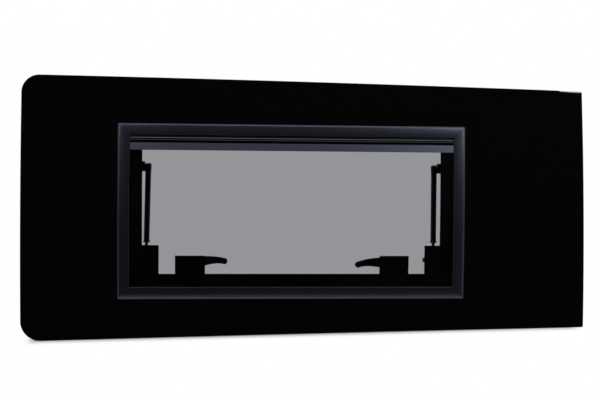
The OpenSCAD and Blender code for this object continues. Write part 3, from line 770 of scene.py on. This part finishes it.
class WINDOW_OT_struts(bpy.types.Operator):
    """Dresses the gas struts, their sockets and their brackets"""

    bl_idname = "window.dress_struts"
    bl_label = "Gas struts"
    top_ball = Vector((0.3743, -0.0034, 0.30325))
    foot_ball = Vector((0.3825, 0.0327, 0.05865))
    tube_end = 0.1975
    collar_length = 0.0042
    lip_width = 0.38
    lip_depth = 0.3
    lip_round = 0.3
    foot_thickness = 0.003
    foot_middle = 0.0057
    foot_inset = 0.0048

    def execute(self, context):
        sizes, finish = context.scene.window_sizes, context.scene.window_finish
        paint = moulded("strut_paint", finish.strut_black, roughness=0.28, scale=900.0, depth=0.00002)
        rod = anodised("rod_black", finish.inner_black, EVEN_GRAIN, roughness=0.18)
        fitting = moulded("fitting_black", finish.moulded_black)
        screw = countersunk_screw(sizes.small_screw_radius)
        places, collars = [], []
        for side in SIDES:
            dressed("strut_tube_" + side, "tube_" + side, paint, sizes.metal_edge)
            dressed("strut_rod_" + side, "rod_" + side, rod, sizes.metal_edge)
            for node, name, edge in (("upper_socket_", "top_socket_", sizes.socket_edge),
                                     ("lower_socket_", "foot_socket_", sizes.moulded_edge),
                                     ("frame_bracket_", "wall_bracket_", sizes.moulded_edge),
                                     ("sash_bracket_", "glass_bracket_", sizes.moulded_edge)):
                dressed(node + side, name + side, fitting, edge, segments=3)
            places += self.screw_places(side)
            collars.append(self.collar_place(side))
        screws = copies_at(screw, places, "bracket_screws")
        wear(screws, plated("screw_zinc", finish.zinc))
        add_piece(screws)
        rings = copies_at(self.make_collar(sizes), collars, "gland_collars")
        wear(rings, paint)
        add_piece(rings)
        return {"FINISHED"}

    def make_collar(self, sizes):
        """The rounded lip that closes a strut's tube, about the origin, along Z."""
        deselect()
        bpy.ops.mesh.primitive_cylinder_add(vertices=64, radius=sizes.collar_radius,
                                            depth=self.collar_length, end_fill_type="NGON")
        collar = bpy.context.active_object
        edit(collar)
        pick_facing(collar, DOWN)
        bpy.ops.mesh.inset(thickness=sizes.collar_radius * self.lip_width)
        bpy.ops.transform.translate(value=(0, 0, self.collar_length * self.lip_depth))
        close_edit()
        soften(collar, self.collar_length * self.lip_round, segments=4)
        return collar

    def collar_place(self, side):
        """The end of a tube on the line between the strut's two balls."""
        mirror = 1 if side == "right" else -1
        top = Vector((mirror * self.top_ball.x, self.top_ball.y, self.top_ball.z))
        foot = Vector((mirror * self.foot_ball.x, self.foot_ball.y, self.foot_ball.z))
        along = (foot - top).normalized()
        turn = (-along).to_track_quat("Z", "Y").to_matrix().to_4x4()
        return Matrix.Translation(top + along * self.tube_end) @ turn

    def screw_places(self, side):
        """Two screws in the upper bracket's foot, facing the middle of the window."""
        low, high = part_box("frame_bracket_" + side)
        right = side == "right"
        face = high.x - self.foot_thickness if right else low.x + self.foot_thickness
        turn = Matrix.Rotation(math.pi / 2 if right else -math.pi / 2, 4, "Z")
        return [Matrix.Translation((face, low.y + self.foot_middle, z)) @ turn
                for z in (low.z + self.foot_inset, high.z - self.foot_inset)]


class WINDOW_OT_handles(bpy.types.Operator):
    """Dresses the lever handles, their latch tongues and the keepers"""

    bl_idname = "window.dress_handles"
    bl_label = "Lever handles"

    def execute(self, context):
        sizes, finish = context.scene.window_sizes, context.scene.window_finish
        grip = moulded("handle_black", finish.moulded_black, roughness=0.4)
        zinc = plated("zinc_plate", finish.zinc)
        places = []
        for side in SIDES:
            body = LEVER_BODY[side]
            dressed("handle_base_" + side, "lever_base_" + side, grip, sizes.moulded_edge)
            dressed("handle_lever_" + side, "lever_" + side, grip, sizes.grip_edge,
                    segments=4, body=body)
            dressed("latch_tongue_" + side, "tongue_" + side, zinc, sizes.metal_edge,
                    body=body)
            dressed("keeper_" + side, "keeper_plate_" + side, zinc, sizes.metal_edge)
            self.make_hub_screw(side, sizes, zinc)
            low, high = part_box("keeper_" + side)
            inset = (high.z - low.z) / 3
            for x in (low.x + inset, high.x - inset):
                places.append(Matrix.Translation((x, SCREW_LIFT, (low.z + high.z) / 2)))
        screws = copies_at(countersunk_screw(sizes.small_screw_radius), places, "keeper_screws")
        wear(screws, zinc)
        add_piece(screws)
        return {"FINISHED"}

    def make_hub_screw(self, side, sizes, zinc):
        """The screw in the lever's hub, with a six-sided socket in its head."""
        low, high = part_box("pivot_screw_" + side)
        screw = copy_of("pivot_screw_" + side, "hub_screw_" + side)
        deselect()
        bpy.ops.mesh.primitive_cylinder_add(
            vertices=6, radius=sizes.socket_radius, depth=sizes.socket_radius, rotation=(math.pi / 2, 0, 0),
            location=((low.x + high.x) / 2, high.y, (low.z + high.z) / 2))
        cutter = bpy.context.active_object
        cut(screw, cutter)
        soften(screw, sizes.metal_edge)
        wear(screw, zinc)
        stand_in(screw, "pivot_screw_" + side)


class WINDOW_OT_stage(bpy.types.Operator):
    """Sets up the white floor, the light tent, the lamps and the camera"""

    bl_idname = "window.set_stage"
    bl_label = "Stage"
    left_foot = Vector((-0.6946, 0.0, -0.1456))
    right_foot = Vector((0.7763, 0.0, -0.1148))
    end_inset = 0.04
    end_fade = 2.4
    front_opening = (-0.92, -0.5)
    floor_line = (-0.31, -0.4)
    floor_glow = (-0.3, 0.3)
    least_glow = 0.4
    lamp_target = Vector((0.04, 0.0, 0.2))
    lamps = (("overhead_lamp", Vector((0.1, -0.7, 2.4)), (2.6, 1.2), 26.0),
             ("right_lamp", Vector((2.02, -2.5, 1.7)), (1.0, 1.2), 72.0),
             ("left_lamp", Vector((-1.85, -2.5, 1.7)), (1.0, 1.1), 40.0),
             ("rear_lamp", Vector((-1.3, 2.3, 1.7)), (1.4, 1.4), 60.0))
    film_width = 36.0
    camera_place = Vector((-0.1683, -2.4860, 0.28295))
    camera_right = Vector((0.99713, -0.07531, 0.00782))
    camera_up = Vector((-0.00587, 0.02616, 0.99964))
    camera_back = Vector((-0.07548, -0.99682, 0.02565))

    def execute(self, context):
        stage = context.scene.window_stage
        self.lay_floor(stage)
        self.light_world(context.scene, stage)
        self.hang_lamps()
        self.set_camera(context.scene, stage)
        context.scene.view_settings.view_transform = "Standard"
        return {"FINISHED"}

    def lay_floor(self, stage):
        """A white floor under the panel's lower edge, with the slight slope of that edge."""
        run = self.right_foot - self.left_foot
        slope = math.atan2(run.z, run.x)
        deselect()
        bpy.ops.mesh.primitive_plane_add(size=stage.floor_size,
                                         location=(self.left_foot + self.right_foot) / 2)
        floor = bpy.context.active_object
        floor.name = "floor"
        floor.rotation_euler = (0, -slope, 0)
        settle(floor)
        floor.visible_glossy = False
        wear(floor, self.floor_finish(stage))

    def floor_finish(self, stage):
        """White, with the panel's lit shadow close under it, deepened by a painted shadow that darkens the
        floor's colour there, and a plain white further away.
        """
        material, tree, shader = new_material("floor_white")
        output = tree.nodes["Material Output"]
        set_values(shader, Roughness=0.9, Specular_IOR_Level=0.0)
        place = add_node(tree, "ShaderNodeTexCoord", -1600, 300)
        nearest = add_node(tree, "ShaderNodeVectorMath", -1400, 100, operation="MAXIMUM")
        nearest.inputs[1].default_value = (cad_low.x + self.end_inset, 0.0, 0.0)
        panel = add_node(tree, "ShaderNodeVectorMath", -1200, 100, operation="MINIMUM")
        panel.inputs[1].default_value = (cad_high.x - self.end_inset, 0.0, 0.0)
        away = add_node(tree, "ShaderNodeVectorMath", -1000, 300, operation="SUBTRACT")
        flat = add_node(tree, "ShaderNodeVectorMath", -800, 300, operation="MULTIPLY")
        flat.inputs[1].default_value = (self.end_fade, 1.0, 0.0)
        reach = add_node(tree, "ShaderNodeVectorMath", -600, 300, operation="LENGTH")
        fade = add_node(tree, "ShaderNodeMapRange", -400, 300, interpolation_type="SMOOTHSTEP")
        set_values(fade, From_Max=stage.shadow_reach)
        # Painted shadow: the floor's colour is scaled down to the contact shade close under the panel.
        shade = add_node(tree, "ShaderNodeMapRange", -400, 600)
        set_values(shade, To_Min=stage.contact_shade)
        tint = add_node(tree, "ShaderNodeVectorMath", -200, 600, operation="SCALE")
        tint.inputs[0].default_value = stage.floor_white
        path, sight = straight_sight(tree, -1200, -200)
        share = add_node(tree, "ShaderNodeMath", -200, 200, operation="MULTIPLY")
        white = add_node(tree, "ShaderNodeEmission", -200, 0)
        mix = add_node(tree, "ShaderNodeMixShader", 100, 100)
        clear = add_node(tree, "ShaderNodeBsdfTransparent", 100, -100)
        by_gloss = add_node(tree, "ShaderNodeMixShader", 300, 0)
        join_nodes(
            tree,
            (place, "Object", nearest, 0),
            (nearest, "Vector", panel, 0),
            (place, "Object", away, 0),
            (panel, "Vector", away, 1),
            (away, "Vector", flat, 0),
            (flat, "Vector", reach, 0),
            (reach, "Value", fade, "Value"),
            (fade, "Result", shade, "Value"),
            (shade, "Result", tint, "Scale"),
            (tint, "Vector", shader, "Base Color"),
            (fade, "Result", share, 0),
            (sight, "Value", share, 1),
            (share, "Value", mix, "Fac"),
            (shader, "BSDF", mix, 1),
            (white, "Emission", mix, 2),
            (path, "Glossy Depth", by_gloss, "Fac"),
            (mix, "Shader", by_gloss, 1),
            (clear, "BSDF", by_gloss, 2),
            (by_gloss, "Shader", output, "Surface"))
        return material

    def light_world(self, scene, stage):
        """A white tent, even in its light on matt surfaces, and dark in front to gloss ones."""
        world = bpy.data.worlds.new("tent")
        scene.world = world
        world.use_nodes = True
        tree = world.node_tree
        tree.nodes.clear()
        place = add_node(tree, "ShaderNodeTexCoord", -1200, 300)
        split = add_node(tree, "ShaderNodeSeparateXYZ", -1000, 300)
        opening = add_node(tree, "ShaderNodeMapRange", -800, 400, interpolation_type="SMOOTHSTEP")
        set_values(opening, From_Min=self.front_opening[0], From_Max=self.front_opening[1])
        upright = add_node(tree, "ShaderNodeMath", -800, 100, operation="MAXIMUM")
        upright.inputs[1].default_value = 0.0
        walls = add_node(tree, "ShaderNodeMapRange", -600, 100)
        set_values(walls, To_Min=stage.side_gloss)
        shine = add_node(tree, "ShaderNodeMath", -400, 300, operation="MULTIPLY")
        low = add_node(tree, "ShaderNodeMapRange", -600, -100, interpolation_type="SMOOTHSTEP")
        set_values(low, From_Min=self.floor_line[0], From_Max=self.floor_line[1],
                   To_Max=stage.floor_gloss)
        rightward = add_node(tree, "ShaderNodeMapRange", -600, -400)
        set_values(rightward, From_Min=self.floor_glow[0], From_Max=self.floor_glow[1],
                   To_Min=self.least_glow)
        low_shine = add_node(tree, "ShaderNodeMath", -400, -100, operation="MULTIPLY")
        both = add_node(tree, "ShaderNodeMath", -200, 400, operation="MAXIMUM")
        tent = add_node(tree, "ShaderNodeBackground", -200, 0)
        gloss = add_node(tree, "ShaderNodeBackground", -200, 200)
        white = add_node(tree, "ShaderNodeBackground", -200, -200)
        for background in (tent, gloss, white):
            set_values(background, Color=WHITE)
        set_values(tent, Strength=stage.tent_light)
        path, sight = straight_sight(tree, -1200, -300)
        by_gloss = add_node(tree, "ShaderNodeMixShader", 0, 100)
        by_sight = add_node(tree, "ShaderNodeMixShader", 200, 0)
        output = add_node(tree, "ShaderNodeOutputWorld", 400, 0)
        join_nodes(
            tree,
            (place, "Generated", split, "Vector"),
            (split, "Y", opening, "Value"),
            (split, "Z", upright, 0),
            (upright, "Value", walls, "Value"),
            (opening, "Result", shine, 0),
            (walls, "Result", shine, 1),
            (split, "Z", low, "Value"),
            (split, "X", rightward, "Value"),
            (low, "Result", low_shine, 0),
            (rightward, "Result", low_shine, 1),
            (shine, "Value", both, 0),
            (low_shine, "Value", both, 1),
            (both, "Value", gloss, "Strength"),
            (path, "Glossy Depth", by_gloss, "Fac"),
            (tent, "Background", by_gloss, 1),
            (gloss, "Background", by_gloss, 2),
            (sight, "Value", by_sight, "Fac"),
            (by_gloss, "Shader", by_sight, 1),
            (white, "Background", by_sight, 2),
            (by_sight, "Shader", output, "Surface"))

    def hang_lamps(self):
        """A wide soft lamp overhead, one at each side of the camera, and one behind for the inner side."""
        for name, place, size, power in self.lamps:
            lamp = bpy.data.lights.new(name, "AREA")
            lamp.shape = "RECTANGLE"
            lamp.size, lamp.size_y = size
            lamp.energy = power
            holder = bpy.data.objects.new(name, lamp)
            holder.location = place
            holder.rotation_euler = (self.lamp_target - place).to_track_quat("-Z", "Y").to_euler()
            bpy.context.scene.collection.objects.link(holder)

    def set_camera(self, scene, stage):
        """The camera in front of the window, a little left of its middle and a little above it."""
        data = bpy.data.cameras.new("camera")
        data.lens = stage.focal_length
        data.sensor_width = self.film_width
        camera = bpy.data.objects.new("camera", data)
        turn = Matrix((self.camera_right, self.camera_up, self.camera_back)).transposed().to_4x4()
        camera.matrix_world = Matrix.Translation(self.camera_place) @ turn
        scene.collection.objects.link(camera)
        scene.camera = camera


class WINDOW_PT_panel(bpy.types.Panel):
    """Lists the steps that dress the window"""

    bl_idname = "WINDOW_PT_panel"
    bl_label = "Side Window"
    bl_space_type = "VIEW_3D"
    bl_region_type = "UI"
    bl_category = "Side Window"

    def draw(self, context):
        for operator in OPERATORS:
            self.layout.operator(operator.bl_idname)
        for group in (context.scene.window_sizes, context.scene.window_finish, context.scene.window_stage):
            box = self.layout.box()
            for name in group.__annotations__:
                box.prop(group, name)


OPERATORS = (WINDOW_OT_stage, WINDOW_OT_panel, WINDOW_OT_frame, WINDOW_OT_inner_frame, WINDOW_OT_sash,
             WINDOW_OT_struts, WINDOW_OT_handles)
GROUPS = {"window_sizes": WindowSizes, "window_finish": WindowFinish, "window_stage": WindowStage}


def register():
    for kind in (*GROUPS.values(), *OPERATORS, WINDOW_PT_panel):
        bpy.utils.register_class(kind)
    for name, kind in GROUPS.items():
        setattr(bpy.types.Scene, name, PointerProperty(type=kind))


def unregister():
    for name in GROUPS:
        delattr(bpy.types.Scene, name)
    for kind in reversed((*GROUPS.values(), *OPERATORS, WINDOW_PT_panel)):
        bpy.utils.unregister_class(kind)


def main():
    register()
    for operator in (bpy.ops.window.set_stage, bpy.ops.window.dress_panel, bpy.ops.window.dress_frame,
                     bpy.ops.window.dress_inner_frame, bpy.ops.window.dress_sash,
                     bpy.ops.window.dress_struts, bpy.ops.window.dress_handles):
        operator()


if __name__ == "__main__":
    main()
